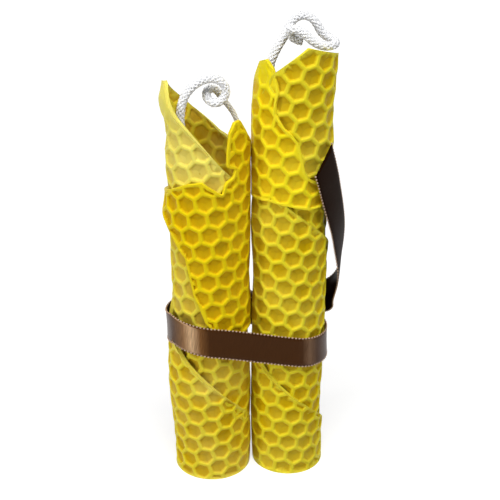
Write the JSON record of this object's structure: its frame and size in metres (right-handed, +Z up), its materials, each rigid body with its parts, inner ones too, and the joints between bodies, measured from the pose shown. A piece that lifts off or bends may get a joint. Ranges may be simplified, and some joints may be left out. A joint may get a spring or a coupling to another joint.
{
  "type": "pair of rolled beeswax candles",
  "caption": "Hand-rolled honeycomb beeswax candles with curled cotton wicks, standing side by side and bound by a tied satin ribbon.",
  "frame": {"origin": "on the floor under the middle of the bound pair, ribbon and knot included, free cords left out", "axes": "+Z up along both candles, +X from the left candle to the right one, -Y to the front, where the knot is hidden"},
  "size_m": [0.0506, 0.0338, 0.1349],
  "materials": {
    "wax_roll": "satin",
    "wax_wrap": "satin",
    "wick_cotton": "braided",
    "ribbon_satin": "satin weave"
  },
  "bodies": {
    "left_candle": {"left_wick_core": "wick_cotton", "left_main_roll": "wax_roll", "left_outer_wrap": "wax_wrap", "left_wick_loop": "wick_cotton"},
    "right_candle": {"right_wick_core": "wick_cotton", "right_main_roll": "wax_roll", "right_outer_wrap": "wax_wrap", "right_wick_loop": "wick_cotton"},
    "ribbon": {"ribbon_band": "ribbon_satin", "ribbon_knot": "ribbon_satin", "ribbon_tail_long": "ribbon_satin", "ribbon_tail_short": "ribbon_satin"}
  },
  "joints": [
    {"name": "right_candle_slide", "type": "slide", "parent": "left_candle", "child": "right_candle", "axis": [0, 0, 1], "range_m": [0, 0.05]},
    {"name": "ribbon_slide", "type": "slide", "parent": "left_candle", "child": "ribbon", "axis": [0, 0, 1], "range_m": [0, 0.02]}
  ]
}
